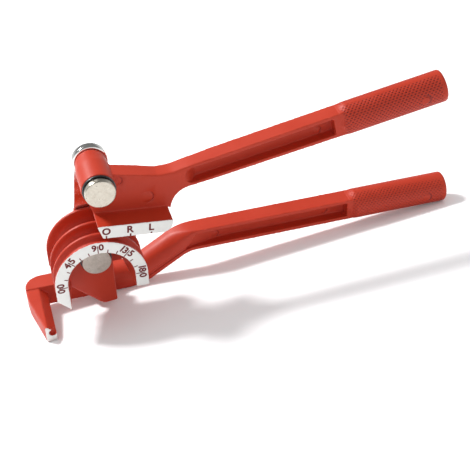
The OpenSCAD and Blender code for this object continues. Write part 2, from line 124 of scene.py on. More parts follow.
# %% [markdown]
# ## Shader helpers
#
# Every finish is built from nodes. A few small helpers keep the cells short: they add a node, wire two
# nodes, start a material with a Principled shader, and make and place groups. Numbers that are the same
# all over a surface go straight on the shader's sockets.

# %% Shader helpers


def add_node(tree, kind, values=None, **settings):
    """A new node of this kind, with settings on the node and values on its inputs."""
    made = tree.nodes.new("ShaderNode" + kind)
    for key, value in settings.items():
        setattr(made, key, value)
    for key, value in (values or {}).items():
        made.inputs[key].default_value = value
    return made


def wire(tree, source, leaves, target, enters):
    """Links an output of one node to an input of another."""
    tree.links.new(source.outputs[leaves], target.inputs[enters])


def start_finish(name, **values):
    """A material whose only shader is a Principled one; returns the material, its tree and the shader."""
    finish = bpy.data.materials.new(name)
    finish.use_nodes = True
    shader = finish.node_tree.nodes["Principled BSDF"]
    for key, value in values.items():
        shader.inputs[key.replace("_", " ")].default_value = value
    return finish, finish.node_tree, shader


def start_group(name, inputs, outputs):
    """A shader node group with named number inputs and outputs."""
    group = bpy.data.node_groups.new(name, "ShaderNodeTree")
    for socket, value in inputs.items():
        made = group.interface.new_socket(socket, in_out="INPUT", socket_type="NodeSocketFloat")
        made.default_value = value
    for socket in outputs:
        group.interface.new_socket(socket, in_out="OUTPUT", socket_type="NodeSocketFloat")
    return group, group.nodes.new("NodeGroupInput"), group.nodes.new("NodeGroupOutput")


def use_group(tree, group, **values):
    """Places a node group in a material, with its own values."""
    made = tree.nodes.new("ShaderNodeGroup")
    made.node_tree = group
    for key, value in values.items():
        made.inputs[key].default_value = value
    return made


# %% [markdown]
# ## Cast grain
#
# A die casting keeps the faint unevenness of its mould, and the paint over it dries with a fine orange
# peel. Two sizes of noise, added together, give the height; a much wider noise gives slow changes of
# tone. Object coordinates are used, so that the grain stays on the piece when a handle moves.

# %% Cast grain group
grain, grain_in, grain_out = start_group(
    "cast grain", {"Grain Size": 500.0, "Tone Size": 45.0, "Peel": 0.35}, ["Height", "Tone"]
)
grain_place = add_node(grain, "TexCoord")
coarse = add_node(grain, "TexNoise", {"Detail": 3.0, "Roughness": 0.55})
peel = add_node(grain, "TexNoise", {"Detail": 2.0, "Roughness": 0.5})
tone = add_node(grain, "TexNoise", {"Detail": 4.0, "Roughness": 0.6})
finer = add_node(grain, "Math", {1: 3.6}, operation="MULTIPLY")
peel_part = add_node(grain, "Math", operation="MULTIPLY")
both = add_node(grain, "Math", operation="ADD")
for texture in (coarse, peel, tone):
    wire(grain, grain_place, "Object", texture, "Vector")
wire(grain, grain_in, "Grain Size", coarse, "Scale")
wire(grain, grain_in, "Grain Size", finer, 0)
wire(grain, finer, 0, peel, "Scale")
wire(grain, grain_in, "Tone Size", tone, "Scale")
wire(grain, peel, "Fac", peel_part, 0)
wire(grain, grain_in, "Peel", peel_part, 1)
wire(grain, coarse, "Fac", both, 0)
wire(grain, peel_part, 0, both, 1)
wire(grain, both, 0, grain_out, "Height")
wire(grain, tone, "Fac", grain_out, "Tone")
print("group:", grain.name, "with", len(grain.nodes), "nodes")

# %% [markdown]
# ## Worn edges, and painted light in corners
#
# Paint is thinnest on outer edges, so the edge tone is worn paint; on the red it is lighter, and there it
# is also a painted highlight. The Bevel node looks at the surface round a point, and where its softened
# normal turns away from the true one there is an edge. Ambient occlusion tells the inner corners from the
# outer ones, and the finishes paint the light of the corners there: painted shade on the white and the
# ink, and painted bounce light, a lighter red, on the red. A little noise breaks the edges up, as wear
# from hands does.

# %% Edge and corner group
edges, edges_in, edges_out = start_group(
    "edge and corner", {"Reach": 0.0009, "Corner Reach": 0.006}, ["Edge", "Corner"]
)
soft = add_node(edges, "Bevel", samples=6)
surface = add_node(edges, "NewGeometry")
turned_away = add_node(edges, "VectorMath", operation="DOT_PRODUCT")
# Edge mask: worn paint, and on the red also a painted highlight
edge_range = add_node(edges, "MapRange", {"From Min": 0.995, "From Max": 0.90})
corners = add_node(edges, "AmbientOcclusion", samples=6)
# Corner mask: where the finishes paint shade, and on the red painted bounce light
corner_range = add_node(edges, "MapRange", {"From Min": 0.85, "From Max": 0.35})
patchy = add_node(edges, "TexNoise", {"Scale": 260.0, "Detail": 3.0})
edges_place = add_node(edges, "TexCoord")
patch_range = add_node(edges, "MapRange", {"From Min": 0.35, "From Max": 0.62})
patched = add_node(edges, "Math", operation="MULTIPLY")
open_side = add_node(edges, "Math", {0: 1.0}, operation="SUBTRACT")
open_edge = add_node(edges, "Math", operation="MULTIPLY")
wire(edges, edges_in, "Reach", soft, "Radius")
wire(edges, edges_in, "Corner Reach", corners, "Distance")
wire(edges, soft, "Normal", turned_away, 0)
wire(edges, surface, "Normal", turned_away, 1)
wire(edges, turned_away, "Value", edge_range, "Value")
wire(edges, corners, "AO", corner_range, "Value")
wire(edges, edges_place, "Object", patchy, "Vector")
wire(edges, patchy, "Fac", patch_range, "Value")
wire(edges, edge_range, "Result", patched, 0)
wire(edges, patch_range, "Result", patched, 1)
wire(edges, corner_range, "Result", open_side, 1)
wire(edges, patched, 0, open_edge, 0)
wire(edges, open_side, 0, open_edge, 1)
wire(edges, open_edge, 0, edges_out, "Edge")
wire(edges, corner_range, "Result", edges_out, "Corner")
print("group:", edges.name, "with", len(edges.nodes), "nodes")

# %% [markdown]
# ## Handled metal
#
# Plated and turned steel is never one clean mirror. Fine scratches, dull patches and small specks
# change how sharply it reflects. One group gives a smear mask for the tone and the roughness, specks
# for small pits, and a height.

# %% Handled metal group
handled, handled_in, handled_out = start_group(
    "handled metal", {"Smear Size": 120.0, "Speck Size": 900.0}, ["Smear", "Speck", "Height"]
)
handled_place = add_node(handled, "TexCoord")
smear = add_node(handled, "TexNoise", {"Detail": 6.0, "Roughness": 0.65})
speck = add_node(handled, "TexVoronoi", {"Randomness": 1.0})
SPECK_RANGE = {"From Min": 0.10, "From Max": 0.24, "To Min": 1.0, "To Max": 0.0}
speck_range = add_node(handled, "MapRange", SPECK_RANGE)
sparse = add_node(handled, "TexNoise", {"Detail": 2.0})
sparse_range = add_node(handled, "MapRange", {"From Min": 0.52, "From Max": 0.62})
speck_mask = add_node(handled, "Math", operation="MULTIPLY")
rub = add_node(handled, "TexNoise", {"Detail": 5.0, "Roughness": 0.7})
for texture in (smear, speck, sparse, rub):
    wire(handled, handled_place, "Object", texture, "Vector")
wire(handled, handled_in, "Smear Size", smear, "Scale")
wire(handled, handled_in, "Smear Size", sparse, "Scale")
wire(handled, handled_in, "Speck Size", speck, "Scale")
wire(handled, handled_in, "Speck Size", rub, "Scale")
wire(handled, speck, "Distance", speck_range, "Value")
wire(handled, sparse, "Fac", sparse_range, "Value")
wire(handled, speck_range, "Result", speck_mask, 0)
wire(handled, sparse_range, "Result", speck_mask, 1)
wire(handled, smear, "Fac", handled_out, "Smear")
wire(handled, speck_mask, 0, handled_out, "Speck")
wire(handled, rub, "Fac", handled_out, "Height")
print("group:", handled.name, "with", len(handled.nodes), "nodes")

# %% [markdown]
# ## The painted finishes
#
# The castings are sprayed with a warm red enamel that dries half glossy. The reading faces are then
# rolled with white, and the marks are printed over it in dark red. All three share the same recipe: a
# colour that varies a little with the grain, an edge tone for worn paint, a corner tone that is painted
# light, and a bump of a few hundredths of a millimetre. On the red the edges are lighter and also a
# painted highlight, and the corners get painted bounce light; on the white and the ink the corners get
# painted shade. The red also gets painted shade in the pits of the grips and a painted shadow beside
# the ejector marks, where the meshes carry a mask named pit.

# %% Paint


def mix_colours(tree, mask, first, second):
    """A Mix node from one colour to another by a mask; a colour is a value or an output."""
    made = add_node(tree, "Mix", data_type="RGBA")
    tree.links.new(mask, made.inputs["Factor"])
    for slot, colour in ((6, first), (7, second)):
        if isinstance(colour, tuple):
            made.inputs[slot].default_value = colour
        else:
            tree.links.new(colour, made.inputs[slot])
    return made.outputs[2]


def vary(tree, source, low, high):
    """Maps a mask that runs from 0.3 to 0.7 to a range of values."""
    made = add_node(tree, "MapRange", {"From Min": 0.3, "From Max": 0.7, "To Min": low, "To Max": high})
    tree.links.new(source, made.inputs["Value"])
    return made.outputs["Result"]


def add_relief(tree, shader, source, bump):
    """A bump of this depth on a shader, from the height that a group gives."""
    relief = add_node(tree, "Bump", {"Strength": 1.0, "Distance": bump})
    wire(tree, source, "Height", relief, "Height")
    wire(tree, relief, "Normal", shader, "Normal")


def paint(name, dark, light, edge, corner, rough, bump, pit=None, **values):
    """An enamel: two tones, an edge tone for worn paint, a corner tone of painted light, painted shade in
    pits, a roughness range and a bump.
    """
    finish, tree, shader = start_finish(name, **values)
    skin = use_group(tree, grain)
    rims = use_group(tree, edges)
    tones = mix_colours(tree, skin.outputs["Tone"], dark, light)
    edged = mix_colours(tree, rims.outputs["Edge"], tones, edge)
    shaded = mix_colours(tree, rims.outputs["Corner"], edged, corner)
    # painted shade in the knurl's pits and painted shadow beside the ejector marks, from the mask named pit
    if pit:
        pits = add_node(tree, "Attribute", attribute_name="pit")
        shaded = mix_colours(tree, pits.outputs["Fac"], shaded, pit)
    tree.links.new(shaded, shader.inputs["Base Color"])
    tree.links.new(vary(tree, skin.outputs["Tone"], *rough), shader.inputs["Roughness"])
    add_relief(tree, shader, skin, bump)
    return finish


red_enamel = paint(
    "red enamel",
    dark=(0.405, 0.027, 0.009, 1.0),
    light=(0.50, 0.038, 0.013, 1.0),
    # edge: lighter, worn paint and painted highlight; corner: painted bounce light, a lighter red in pockets
    edge=(0.60, 0.070, 0.040, 1.0),
    corner=(0.50, 0.042, 0.024, 1.0),
    rough=(0.40, 0.54),
    bump=0.00004,
    # pit: painted shade in the pits of the grips and painted shadow beside the ejector marks
    pit=(0.17, 0.010, 0.008, 1.0),
    Specular_IOR_Level=0.3,
)
white_enamel = paint(
    "white enamel",
    dark=(0.73, 0.73, 0.71, 1.0),
    light=(0.81, 0.81, 0.78, 1.0),
    # edge: a pinker tone of worn paint; corner: painted shade
    edge=(0.76, 0.70, 0.68, 1.0),
    corner=(0.66, 0.58, 0.56, 1.0),
    rough=(0.42, 0.58),
    bump=0.00003,
    Specular_IOR_Level=0.4,
)
mark_ink = paint(
    "mark ink",
    dark=(0.11, 0.009, 0.012, 1.0),
    light=(0.15, 0.013, 0.016, 1.0),
    # edge: a lighter tone; corner: painted shade
    edge=(0.19, 0.026, 0.028, 1.0),
    corner=(0.10, 0.008, 0.011, 1.0),
    rough=(0.50, 0.65),
    bump=0.00002,
    Specular_IOR_Level=0.3,
)
print("paints:", red_enamel.name, white_enamel.name, mark_ink.name)

# %% [markdown]
# ## The metal finishes
#
# The link is bright plating, the upper pin is plated over a turned face, and the lower pin was tumbled
# and left dull. Washers and screws are darker, and bushes are bronze. All use the handled metal group,
# with their own colours, smears and specks, so that they belong together but don't look alike.

# %% Metals


def metal(name, base, patch, speck_colour, rough, bump, smear_size, speck_size):
    """A metal with pale patches and dark specks in its colour, smears in its roughness and a fine bump."""
    finish, tree, shader = start_finish(name, Metallic=1.0)
    wear = use_group(tree, handled, **{"Smear Size": smear_size, "Speck Size": speck_size})
    patches = mix_colours(tree, vary(tree, wear.outputs["Smear"], 0.0, 1.0), base, patch)
    specked = mix_colours(tree, wear.outputs["Speck"], patches, speck_colour)
    tree.links.new(specked, shader.inputs["Base Color"])
    tree.links.new(vary(tree, wear.outputs["Smear"], *rough), shader.inputs["Roughness"])
    add_relief(tree, shader, wear, bump)
    return finish


# Base, patch and speck colours, roughness range, bump in metres, smear size and speck size
METALS = {
    "plated_link": (
        (0.74, 0.74, 0.72), (0.84, 0.84, 0.82), (0.42, 0.41, 0.39),
        (0.07, 0.20), 0.000004, 90.0, 700.0,
    ),
    "plated_pin": (
        (0.46, 0.42, 0.35), (0.64, 0.60, 0.52), (0.20, 0.17, 0.13),
        (0.22, 0.46), 0.00002, 420.0, 800.0,
    ),
    "plain_pin": (
        (0.38, 0.35, 0.30), (0.56, 0.52, 0.47), (0.22, 0.19, 0.16),
        (0.40, 0.58), 0.00006, 420.0, 900.0,
    ),
    "dark_washer": (
        (0.07, 0.07, 0.075), (0.10, 0.10, 0.10), (0.16, 0.15, 0.14),
        (0.30, 0.50), 0.00001, 150.0, 900.0,
    ),
    "thrust_steel": (
        (0.42, 0.41, 0.39), (0.50, 0.49, 0.47), (0.26, 0.24, 0.22),
        (0.28, 0.46), 0.00001, 150.0, 900.0,
    ),
    "bush_bronze": (
        (0.48, 0.31, 0.13), (0.56, 0.37, 0.17), (0.26, 0.16, 0.07),
        (0.32, 0.50), 0.00001, 150.0, 900.0,
    ),
    "black_screw": (
        (0.03, 0.03, 0.03), (0.05, 0.05, 0.05), (0.10, 0.09, 0.08),
        (0.34, 0.52), 0.00001, 150.0, 900.0,
    ),
}
metals = {}
for slot, (base, patch, dark_speck, *settings) in METALS.items():
    colours = [colour + (1.0,) for colour in (base, patch, dark_speck)]
    metals[slot] = metal(slot.replace("_", " "), *colours, *settings)
print("metals:", ", ".join(metals))

# %% [markdown]
# ## Shaping helpers
#
# A casting has no sharp edge anywhere: metal doesn't fill a sharp corner of the mould, and corners
# inside are filleted so that it doesn't crack. Rounding every edge one by one is slow, so the solid is
# rebuilt from small voxels and then relaxed. Both outer and inner corners come out round, as in the
# mould.

# %% Shaping helpers
WELD = 1e-6
VOXEL = 0.00036
RELAX = 8
RELAX_SHARE = 0.5
KEEP_FACES = 0.16


def show(name, mesh, finish, body):
    """Puts a mesh in the scene as one piece that rides on a body."""
    made = add_object(name, mesh)
    mesh.materials.clear()
    mesh.materials.append(finish)
    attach(made, body)
    return made


def baked_mesh(maker):
    """The mesh of an object after its modifiers; the object itself goes away."""
    bpy.context.view_layer.update()
    seen = maker.evaluated_get(bpy.context.evaluated_depsgraph_get())
    mesh = bpy.data.meshes.new_from_object(seen)
    old = maker.data
    bpy.data.objects.remove(maker)
    if old.users == 0 and isinstance(old, bpy.types.Mesh):
        bpy.data.meshes.remove(old)
    return mesh


def with_modifiers(mesh, steps):
    """A new mesh, after modifiers that are given as (kind, settings)."""
    maker = add_object("maker", mesh)
    for kind, settings in steps:
        step = maker.modifiers.new(kind, kind)
        for key, value in settings.items():
            setattr(step, key, value)
    return baked_mesh(maker)


def plain_mesh(name, build):
    """A mesh from a bmesh, as it is; the bmesh goes away."""
    mesh = bpy.data.meshes.new(name)
    build.to_mesh(mesh)
    build.free()
    return mesh


def mesh_from(name, build):
    """A mesh from a bmesh, with normals outwards and smooth shading."""
    bmesh.ops.recalc_face_normals(build, faces=build.faces)
    mesh = plain_mesh(name, build)
    mesh.shade_smooth()
    return mesh


def solid_copy(node):
    """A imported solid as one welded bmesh."""
    build = bmesh.new()
    build.from_mesh(frame["nodes"][node].data)
    bmesh.ops.remove_doubles(build, verts=build.verts, dist=WELD)
    return build


def cut_off(build, place, way):
    """Cuts everything beyond a plane off a bmesh."""
    parts = build.verts[:] + build.edges[:] + build.faces[:]
    bmesh.ops.bisect_plane(build, geom=parts, plane_co=place, plane_no=way, clear_outer=True)


def close_up(build):
    """Closes the open end that a cut leaves."""
    rim = [edge for edge in build.edges if edge.is_boundary]
    bmesh.ops.holes_fill(build, edges=rim)


def cast_skin(build):
    """The fine, relaxed mesh of a casting."""
    rough = plain_mesh("rough_casting", build)
    remesh = ("REMESH", {"mode": "VOXEL", "voxel_size": VOXEL})
    relax = ("SMOOTH", {"factor": RELAX_SHARE, "iterations": RELAX})
    return with_modifiers(rough, [remesh, relax])


def places_in(mesh, axes):
    """The points of a mesh, in millimetres along the tool."""
    turn = np.array(axes.inverted())
    flat = np.empty(len(mesh.vertices) * 3)
    mesh.vertices.foreach_get("co", flat)
    return flat.reshape(-1, 3) @ turn[:3, :3].T + turn[:3, 3]


def move_points(mesh, axes, places):
    """Moves the points of a mesh to places given in millimetres along the tool."""
    ahead = np.array(axes)
    moved = places @ ahead[:3, :3].T + ahead[:3, 3]
    mesh.vertices.foreach_set("co", moved.ravel())
    mesh.update()


def set_painted_shade(mesh, values):
    """Stores the mask of painted shade and painted shadow, named pit, on a mesh, one value for each point.
    """
    mask = mesh.attributes.new("pit", "FLOAT", "POINT")
    mask.data.foreach_set("value", np.asarray(values, dtype=np.float32))


def soften(mesh, axes, centre, reach, times):
    """Relaxes a casting's skin round a place, most in the middle and not at all beyond the reach."""
    spots = places_in(mesh, axes)
    weights = np.clip(1.0 - np.linalg.norm(spots - np.array(centre), axis=1) / reach, 0.0, 1.0)
    maker = add_object("maker", mesh)
    group = maker.vertex_groups.new(name="soft")
    for index in np.flatnonzero(weights):
        group.add([int(index)], min(1.0, 2.0 * weights[index]), "REPLACE")
    relax = maker.modifiers.new("relax", "SMOOTH")
    relax.factor = RELAX_SHARE
    relax.iterations = times
    relax.vertex_group = "soft"
    return baked_mesh(maker)


def thinned(mesh, keep):
    """The same surface with fewer faces where it is flat."""
    made = with_modifiers(mesh, [("DECIMATE", {"ratio": keep})])
    made.shade_smooth()
    return made


# %% [markdown]
# ## Ejector marks
#
# Pins push a casting out of its mould. Where a pin stands back a little from the mould's face, it
# leaves a low round pad, often higher at one side. Each pad is raised from the fine skin: points within
# the pin's radius, on the face that the pin touched, move out by a fraction of a millimetre. A narrow
# groove is sunk round the foot of the higher side, and a painted shadow, in the mask named pit, darkens
# it on that side, away from the lamp. It comes before the mesh is thinned, because flat faces lose
# their points then.

# %% Ejector marks helper
MARK_RIM = 0.5
MARK_LIFT = 0.5
MARK_FOOT_WIDTH = 0.5
MARK_FOOT = 0.6
LOOKS_AHEAD = -0.8


def raise_marks(mesh, axes, marks, front, back):
    """Raises round pads, given as (right, up, radius), on front faces between two depths."""
    count = len(mesh.vertices)
    places = places_in(mesh, axes)
    normals = np.empty(count * 3)
    mesh.vertex_normals.foreach_get("vector", normals)
    facing = normals.reshape(-1, 3) @ np.array(pins_back)
    within = (places[:, 1] > front) & (places[:, 1] < back) & (facing < LOOKS_AHEAD)
    raised = 0
    painted_shade = np.zeros(count)
    for right, up, radius in marks:
        away = np.hypot(places[:, 0] - right, places[:, 2] - up)
        share = np.clip((radius - away) / MARK_RIM, 0.0, 1.0) * within
        higher = np.clip(0.5 + 0.5 * (places[:, 0] - right) / radius, 0.0, 1.0)
        places[:, 1] -= share * MARK_LIFT * higher
        # The foot band is sunk as a groove and gets a painted shadow on the pad's higher side
        foot = np.clip(1.0 - np.abs(away - radius - MARK_FOOT_WIDTH) / MARK_FOOT_WIDTH, 0.0, 1.0) * within * higher**2
        places[:, 1] += foot * MARK_FOOT
        painted_shade = np.maximum(painted_shade, foot * foot)
        raised += int((share > 0).sum())
    move_points(mesh, axes, places)
    set_painted_shade(mesh, painted_shade)
    return raised


# %% [markdown]
# ## The grooved die
#
# The die is the heart of the tool: half a wheel with three grooves, one for each tube, on a hub that
# the lower pin goes through. On the real tool it is cast, so it gets the relaxed casting skin. The
# front face of the half wheel is where the white degree scale is painted later, so its fine skin is
# kept for that.

# %% Grooved die
die_skin = cast_skin(solid_copy("bending_die"))
print("die skin:", len(die_skin.polygons), "faces")
die_front_skin = die_skin.copy()
bending_die = show("grooved_die", thinned(die_skin, KEEP_FACES), red_enamel, "fixed_side")
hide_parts("bending_die")
print(bending_die.name, len(bending_die.data.polygons), "faces")

# %% [markdown]
# ## The lower handle
#
# The lower handle is one casting, from the hook that holds the tube down to the round grip. Its front
# is a channel, which saves metal and is left plain. The edge between top and front is rolled over
# softly round the bend, so the fine skin is moved onto a wide radius there. The grip is cut off at its
# swell, because the knurl needs its own mesh.

# %% Lower handle
LOW_GRIP_START = 163.0
LOW_GRIP_END = 230.0
LOW_GRIP_UP = -18.5
LOW_GRIP_BACK = 48.38
LOW_HALVES = (7.2, 6.0)
GRIP_SWELL = 7.0
GRIP_CUT = 3.2
LEVER_FRONT = 44.0
LEVER_FLOOR = 53.0
LOW_MARKS = [(77.2, -20.6, 2.3), (149.0, -19.4, 2.3)]

NECK_UP = -37.4
BEND_START = 19.5
BEND_END = 64.26
BEND_RADIUS = 24.0
BEND_TURN = math.radians(31.0)
LEVER_HALF = 7.2
LEVER_FACE = 42.38
ROLL_RADIUS = 8.5
LEAST_RADIUS = 0.01
ROLL_MARGIN = 1.0
ROLL_IN = (6.0, 13.0)
ROLL_OUT = (46.0, 70.0)
POCKET_HALF = 5.4
POCKET_DEEP = 7.2
RUN_OUT = (54.0, 86.0)
RUN_OUT_DEPTH = 0.3


def soft_step(value, low, high):
    """A soft step from 0 to 1 between two values, for a number or a row of them."""
    share = np.clip((value - low) / (high - low), 0.0, 1.0)
    return share * share * (3.0 - 2.0 * share)


def lever_offsets(right, up):
    """Height above the lever's centre line, and the way up across it, along neck, bends, slope and beam."""
    first = (BEND_START, NECK_UP + BEND_RADIUS)
    last = (BEND_END, LOW_GRIP_UP - BEND_RADIUS)
    away_first = np.hypot(right - first[0], up - first[1])
    away_last = np.hypot(right - last[0], up - last[1])
    turn_first = np.arctan2(right - first[0], first[1] - up)
    turn_last = np.arctan2(last[0] - right, up - last[1])
    corner = (first[0] + BEND_RADIUS * math.sin(BEND_TURN), first[1] - BEND_RADIUS * math.cos(BEND_TURN))
    across = (-math.sin(BEND_TURN), math.cos(BEND_TURN))
    slope = (right - corner[0]) * across[0] + (up - corner[1]) * across[1]
    places = [turn_first < 0, turn_first < BEND_TURN, turn_last < 0, turn_last < BEND_TURN]
    height = np.select(
        places, [up - NECK_UP, BEND_RADIUS - away_first, up - LOW_GRIP_UP, away_last - BEND_RADIUS], slope
    )
    way_right = np.select(
        places, [0.0, (first[0] - right) / away_first, 0.0, (right - last[0]) / away_last], across[0]
    )
    way_up = np.select(
        places, [1.0, (first[1] - up) / away_first, 1.0, (up - last[1]) / away_last], across[1]
    )
    return height, way_right, way_up


def shape_bend(mesh):
    """Lets the pocket run out at the bend, and rolls the edge between top and front over a wide radius."""
    spots = places_in(mesh, die_axes)
    right, back, up = spots.T
    height, way_right, way_up = lever_offsets(right, up)
    sunk = back - LEVER_FACE
    pocket = (np.abs(height) < POCKET_HALF) & (sunk > 0.0) & (sunk < POCKET_DEEP) & (right > ROLL_IN[1])
    kept = RUN_OUT_DEPTH + (1.0 - RUN_OUT_DEPTH) * soft_step(right, *RUN_OUT)
    back -= np.where(pocket, sunk * (1.0 - kept), 0.0)
    rolls = soft_step(right, *ROLL_IN) * (1.0 - soft_step(right, *ROLL_OUT))
    radius = ROLL_RADIUS * rolls + LEAST_RADIUS
    from_top = height - (LEVER_HALF - radius)
    from_front = (LEVER_FACE + radius) - back
    away = np.hypot(from_top, from_front)
    on_lever = (back > LEVER_FACE - ROLL_MARGIN) & (np.abs(height) < LEVER_HALF + ROLL_MARGIN)
    near = on_lever & (right > ROLL_IN[0])
    outside = near & (from_top > 0) & (from_front > 0) & (away > radius)
    pull = np.where(outside, radius / np.maximum(away, LEAST_RADIUS) - 1.0, 0.0)
    spots[:, 0] += way_right * from_top * pull
    spots[:, 2] += way_up * from_top * pull
    spots[:, 1] -= from_front * pull
    move_points(mesh, die_axes, spots)
    return int(outside.sum())


low_solid = solid_copy("fixed_handle")
low_cut = LOW_GRIP_START + GRIP_CUT
cut_off(low_solid, die_axes @ Vector((low_cut, LOW_GRIP_BACK, LOW_GRIP_UP)), tool_right)
close_up(low_solid)
low_skin = cast_skin(low_solid)
raised = raise_marks(low_skin, die_axes, LOW_MARKS, LEVER_FRONT, LEVER_FLOOR)
rolled = shape_bend(low_skin)
print("lower handle skin:", len(low_skin.polygons), "faces")
print("points raised:", raised, "and rolled over:", rolled)
low_front_skin = low_skin.copy()
lower_handle = show("lower_handle", thinned(low_skin, KEEP_FACES), red_enamel, "fixed_side")
print(lower_handle.name, len(lower_handle.data.polygons), "faces")

# %% [markdown]
# ## The upper handle
#
# The upper handle carries the shoe that bends the tube, and the barrel that the upper pin goes through.
# It is made in the same way as the lower one, in its own axes, because it was turned a little when it
# was laid down. The floor of its pocket rises gently to the face where the pocket starts.

# %% Upper handle
ROOT_RIGHT = 52.26
ROOT_UP = -0.6
ROOT_ANGLE = math.radians(16.1)
UP_GRIP_START = 89.0
UP_GRIP_END = 154.5
UP_GRIP_BACK = 19.5
UP_HALVES = (7.58, 5.5)
WEB_FRONT = 13.0
WEB_FLOOR = 22.0
SHOULDER = (45.0, 19.5, 5.0)
SHOULDER_REACH = 22.0
SHOULDER_TIMES = 90
UP_MARKS = [(27.8, -11.3, 3.2), (10.9, 1.2, 2.3), (126.9, 18.6, 2.3)]

UP_FACE = 14.0
UP_POCKET_HALF = 5.2
UP_RUN_OUT = (-4.0, 4.5)

grip_way = Vector((math.cos(ROOT_ANGLE), 0.0, math.sin(ROOT_ANGLE)))
grip_over = Vector((-math.sin(ROOT_ANGLE), 0.0, math.cos(ROOT_ANGLE)))
grip_root = Vector((ROOT_RIGHT, UP_GRIP_BACK, ROOT_UP))


def run_out_pocket(mesh):
    """Lets the floor of the upper pocket rise gently to the face where the pocket starts."""
    spots = places_in(mesh, barrel_axes)
    from_root = spots - np.array(grip_root)
    along = from_root @ np.array(grip_way)
    height = from_root @ np.array(grip_over)
    sunk = spots[:, 1] - UP_FACE
    inside = (np.abs(height) < UP_POCKET_HALF) & (along > UP_RUN_OUT[0])
    pocket = inside & (sunk > 0.0) & (sunk < POCKET_DEEP)
    spots[:, 1] -= np.where(pocket, sunk * (1.0 - soft_step(along, *UP_RUN_OUT)), 0.0)
    move_points(mesh, barrel_axes, spots)


up_solid = solid_copy("forming_handle")
up_cut = grip_root + grip_way * (UP_GRIP_START + GRIP_CUT)
grip_way_room = (barrel_axes.to_3x3() @ grip_way).normalized()
cut_off(up_solid, barrel_axes @ up_cut, grip_way_room)
close_up(up_solid)
up_skin = soften(cast_skin(up_solid), barrel_axes, SHOULDER, SHOULDER_REACH, SHOULDER_TIMES)
raised = raise_marks(up_skin, barrel_axes, UP_MARKS, WEB_FRONT, WEB_FLOOR)
run_out_pocket(up_skin)
print("upper handle skin:", len(up_skin.polygons), "faces,", raised, "points raised")
up_front_skin = up_skin.copy()
upper_handle = show("upper_handle", thinned(up_skin, KEEP_FACES), red_enamel, "forming_side")
print(upper_handle.name, len(upper_handle.data.polygons), "faces")

# %% [markdown]
# ## The knurled grips
#
# A cut knurl is two sets of slanting grooves that cross. On this tool it is cast, and the mould opens
# to the front and the back, so only the pits where the grooves would cross are left, and a smooth band,
# wider at the end, runs along the top and the bottom. It could be a bump in the material, but pits
# throw real shadows, so each grip is a fine round grid whose points move in. The pits also get painted
# shade, and the ejector boss a painted shadow at its foot, in the mask named pit. The grid starts where
# the flat handle swells, and covers the swell too.

# %% Knurled grips
GRIP_RADIUS = 9.45
GRIP_NOSE = 1.6
GRIP_LIFT = 0.03
SWELL_FROM = 1.5
SWELL_CORNER = 15.0
SWELL_LIFT = 0.09
KNURLS_ROUND = 23
KNURL_LONG = 2.35
KNURL_DEPTH = 0.30
KNURL_FADE = (3.0, 4.4)
KNURL_STOP = (0.8, 2.2)
PIT_LONG = 0.76
PIT_WIDE = 0.50
# How much painted shade the pits of each grip get
LOW_PIT_SHADE = 0.6
UP_PIT_SHADE = 1.0
PIT_STEEP = 2.0
LOW_BANDS = ((0.02, 0.22), (0.20, 0.60))
UP_BANDS = ((0.04, 0.10), (0.24, 0.34))
POINTS_PER_KNURL = 9
NOSE_STEPS = 6
FRONT_ANGLE = 1.5 * math.pi
BOSS_FROM_END = 14.2
BOSS_RADIUS = 2.3
BOSS_RIM = 0.3
BOSS_LIFT = 0.6
BOSS_SHADOW_WIDTH = 0.8


def join_rows(build, rows):
    """Joins rings of points with a band of faces between each two."""
    for first, second in zip(rows, rows[1:]):
        for index in range(len(first)):
            after = (index + 1) % len(first)
            build.faces.new((first[index], first[after], second[after], second[index]))


def lathe_rings(rings, axes, centre, way):
    """A closed round mesh from rings of (distance along, radii) about a line; the ends are capped."""
    side = Vector((0.0, 1.0, 0.0))
    over = way.cross(side)
    build = bmesh.new()
    rows = []
    for along, radii in rings:
        row = []
        for index, radius in enumerate(radii):
            angle = 2.0 * math.pi * index / len(radii)
            spot = centre + way * along + (over * math.cos(angle) + side * math.sin(angle)) * radius
            row.append(build.verts.new(axes @ spot))
        rows.append(row)
    join_rows(build, rows)
    build.faces.new(rows[0])
    build.faces.new(rows[-1])
    return build


def pit_depth(turns, along):
    """Depth of the knurl, from 0 to 1: long oval pits in rows, each row half a step on from the last."""
    round_step = 2.0 * math.pi * GRIP_RADIUS / KNURLS_ROUND
    deepest = 0.0
    for shift in (0.0, 0.5):
        wide = ((turns + shift + 0.5) % 1.0 - 0.5) * round_step / PIT_WIDE
        long = ((along / KNURL_LONG + shift + 0.5) % 1.0 - 0.5) * KNURL_LONG / PIT_LONG
        deepest = max(deepest, 1.0 - math.hypot(wide, long))
    return min(1.0, PIT_STEEP * deepest)


def swell_radius(along, angle, half_up, half_back):
    """Radius where the flat handle swells into the round grip; along is counted from its start."""
    share = soft_step(along, SWELL_FROM, GRIP_SWELL)
    across = abs(math.cos(angle) / half_up) ** SWELL_CORNER
    across += abs(math.sin(angle) / half_back) ** SWELL_CORNER
    return (1.0 - share) * across ** (-1.0 / SWELL_CORNER) + share * GRIP_RADIUS


def boss_at(along, angle, end):
    """How far inside the ejector boss a point is, how far it stands out, and the painted shadow at its foot.
    """
    long_way = along - end + BOSS_FROM_END
    away = math.hypot(long_way, (angle - FRONT_ANGLE) * GRIP_RADIUS)
    inside = min(1.0, max(0.0, (BOSS_RADIUS - away) / BOSS_RIM))
    slant = 0.5 + 0.5 * long_way / BOSS_RADIUS
    foot = max(0.0, 1.0 - abs(away - BOSS_RADIUS - BOSS_SHADOW_WIDTH) / BOSS_SHADOW_WIDTH)
    return inside, inside * BOSS_LIFT * slant, foot * min(1.0, max(0.0, slant)) ** 2


